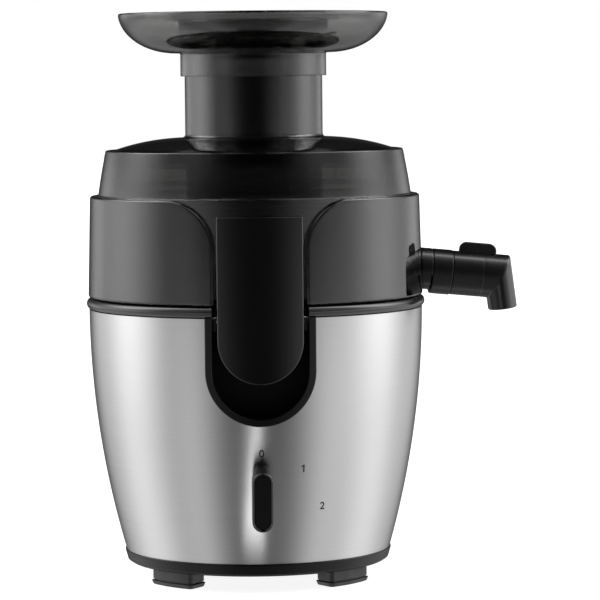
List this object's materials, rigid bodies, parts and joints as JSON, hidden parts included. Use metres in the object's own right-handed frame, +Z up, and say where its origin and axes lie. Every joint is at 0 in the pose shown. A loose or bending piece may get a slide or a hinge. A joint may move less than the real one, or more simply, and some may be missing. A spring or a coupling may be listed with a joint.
{
  "type": "centrifugal juicer",
  "caption": "Upright juicer: steel barrel base with motor, smoky pulp container with turning side spout, spinning sieve basket, lid with feed chute, lock lever, food tray and pusher.",
  "frame": {"origin": "on the vertical axis of the barrel and basket, on the surface that the feet stand on", "axes": "+Z up along the motor shaft, -Y towards the front with the lock lever and the knob, +X to the right, the spout's side"},
  "size_m": [0.2539, 0.2106, 0.33],
  "materials": {
    "brushed_steel": "fine horizontal brushing, satin",
    "dark_grey_plastic": "satin moulded plastic",
    "black_plastic": "semi-gloss moulded plastic",
    "smoky_plastic": "clear smoky plastic, polished",
    "rubber": "matt rubber",
    "spring_steel": "bright drawn wire and turned pins",
    "lamination_steel": "stacked sheet edges",
    "cast_aluminium": "as cast",
    "copper": "enamelled winding wire",
    "carbon": "pressed carbon",
    "phenolic": "brown insulating board",
    "stainless": "etched and formed stainless sheet",
    "white_plastic": "natural acetal"
  },
  "bodies": {
    "base": {"steel_shell": "brushed_steel", "trim_ring": "dark_grey_plastic", "latch_recess": "black_plastic", "base_deck": "black_plastic", "bottom_cover": "black_plastic", "foot_front_right": "rubber", "foot_rear_right": "rubber", "foot_rear_left": "rubber", "foot_front_left": "rubber", "cover_screws": "spring_steel", "cord_gland": "rubber", "motor_stator": "lamination_steel", "field_coils": "copper", "upper_motor_bracket": "cast_aluminium", "lower_motor_bracket": "cast_aluminium", "upper_bearing": "spring_steel", "lower_bearing": "spring_steel", "brush_holders": "phenolic", "carbon_brushes": "carbon", "brush_springs": "spring_steel", "motor_dampers": "rubber", "motor_screws": "spring_steel", "shaft_seal": "rubber", "rotary_switch": "black_plastic", "switch_bracket": "cast_aluminium", "interlock_switch": "black_plastic", "latch_pin": "spring_steel", "latch_spring": "spring_steel"},
    "rotor": {"motor_shaft": "spring_steel", "armature_core": "lamination_steel", "armature_windings": "copper", "commutator": "copper", "cooling_fan": "black_plastic", "drive_coupling": "black_plastic"},
    "bowl": {"pulp_container": "smoky_plastic", "juice_collector": "smoky_plastic", "spout_pipe": "black_plastic", "spout_collar": "black_plastic", "spout_o_ring": "rubber"},
    "basket": {"basket_frame": "dark_grey_plastic", "filter_mesh": "stainless", "grater_disc": "stainless", "basket_rim": "dark_grey_plastic"},
    "lid": {"lid_shell": "smoky_plastic", "feed_chute": "smoky_plastic", "lid_seal": "rubber"},
    "tray": {"food_tray": "smoky_plastic"},
    "pusher_body": {"pusher": "smoky_plastic"},
    "latch": {"latch_lever": "black_plastic", "latch_pad": "rubber"},
    "knob": {"control_knob": "black_plastic", "knob_spindle": "spring_steel"},
    "elbow": {"spout_elbow": "black_plastic"},
    "plunger": {"interlock_plunger": "white_plastic"}
  },
  "joints": [
    {"name": "bowl_lift", "type": "slide", "parent": "base", "child": "bowl", "axis": [0, 0, 1], "range_m": [0, 0.18]},
    {"name": "lid_lift", "type": "slide", "parent": "bowl", "child": "lid", "axis": [0, 0, 1], "range_m": [0, 0.12]},
    {"name": "tray_lift", "type": "slide", "parent": "lid", "child": "tray", "axis": [0, 0, 1], "range_m": [0, 0.05]},
    {"name": "pusher_slide", "type": "slide", "parent": "tray", "child": "pusher_body", "axis": [0, 0, 1], "range_m": [0, 0.14]},
    {"name": "rotor_spin", "type": "hinge", "parent": "base", "child": "rotor", "pos_m": [0, 0, 0.1], "axis": [0, 0, 1], "continuous": true},
    {"name": "basket_spin", "type": "hinge", "parent": "bowl", "child": "basket", "pos_m": [0, 0, 0.18], "axis": [0, 0, 1], "continuous": true},
    {"name": "latch_swing", "type": "hinge", "parent": "base", "child": "latch", "pos_m": [0, -0.0905, 0.157], "axis": [1, 0, 0], "range_deg": [0, 12], "stiffness_Nm_per_rad": 0.6, "springref_deg": -9.74},
    {"name": "knob_turn", "type": "hinge", "parent": "base", "child": "knob", "pos_m": [0, -0.08795, 0.06], "axis": [0, -0.9816, -0.1912], "range_deg": [-106, 0]},
    {"name": "spout_turn", "type": "hinge", "parent": "bowl", "child": "elbow", "pos_m": [0.09587, 0.00502, 0.1782], "axis": [0.994, 0.0521, -0.0958], "range_deg": [0, 180]},
    {"name": "interlock_push", "type": "slide", "parent": "base", "child": "plunger", "axis": [0, 1, 0], "range_m": [0, 0.0045]}
  ],
  "couplings": [
    {"joint": "basket_spin", "follows": "rotor_spin", "ratio": 1},
    {"joint": "interlock_push", "follows": "latch_swing", "m_per_rad": 0.02}
  ]
}
